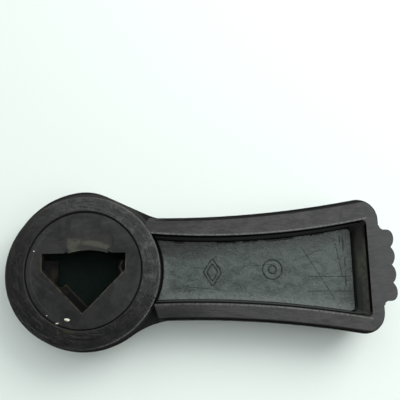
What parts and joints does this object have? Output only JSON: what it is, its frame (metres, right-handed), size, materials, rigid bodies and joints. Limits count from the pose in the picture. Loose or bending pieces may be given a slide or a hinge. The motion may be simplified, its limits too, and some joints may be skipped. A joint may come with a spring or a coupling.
{
  "type": "window crank handle",
  "caption": "Moulded crank handle for a window winder: round head with a five-sided blind drive socket, hollow waisted arm and scalloped grip end.",
  "frame": {"origin": "on the drive axis, in the plane of the head's rubbing ring, which faces the window or door", "axes": "+Z out of the drive socket, +X along the arm to the scalloped end; the handle lies on its front, underside up"},
  "size_m": [0.111, 0.0458, 0.015],
  "materials": {
    "phenolic_shell": "worn dark brown-black phenolic moulding, rub-scuffed ring, glossy hollow",
    "phenolic_insert": "fabric-filled dark phenolic, dull, with browned socket edges",
    "spring_steel": "thin spring strip, tarnished and rust-stained",
    "dowel_steel": "plain ground dowels"
  },
  "bodies": {
    "lever": {"lever_body": "phenolic_shell", "hub_insert": "phenolic_insert", "drive_pins": "dowel_steel", "retaining_clip": "spring_steel"},
    "tongue_left": {"clip_tongue_left": "spring_steel"},
    "tongue_right": {"clip_tongue_right": "spring_steel"}
  },
  "joints": [
    {"name": "tongue_left_flex", "type": "hinge", "parent": "lever", "child": "tongue_left", "pos_m": [-0.0119, -0.00025, -0.0033], "axis": [0, 1, 0], "range_deg": [0, 12], "stiffness_Nm_per_rad": 0.2},
    {"name": "tongue_right_flex", "type": "hinge", "parent": "lever", "child": "tongue_right", "pos_m": [0.0119, -0.00025, -0.0033], "axis": [0, -1, 0], "range_deg": [0, 12], "stiffness_Nm_per_rad": 0.2}
  ]
}
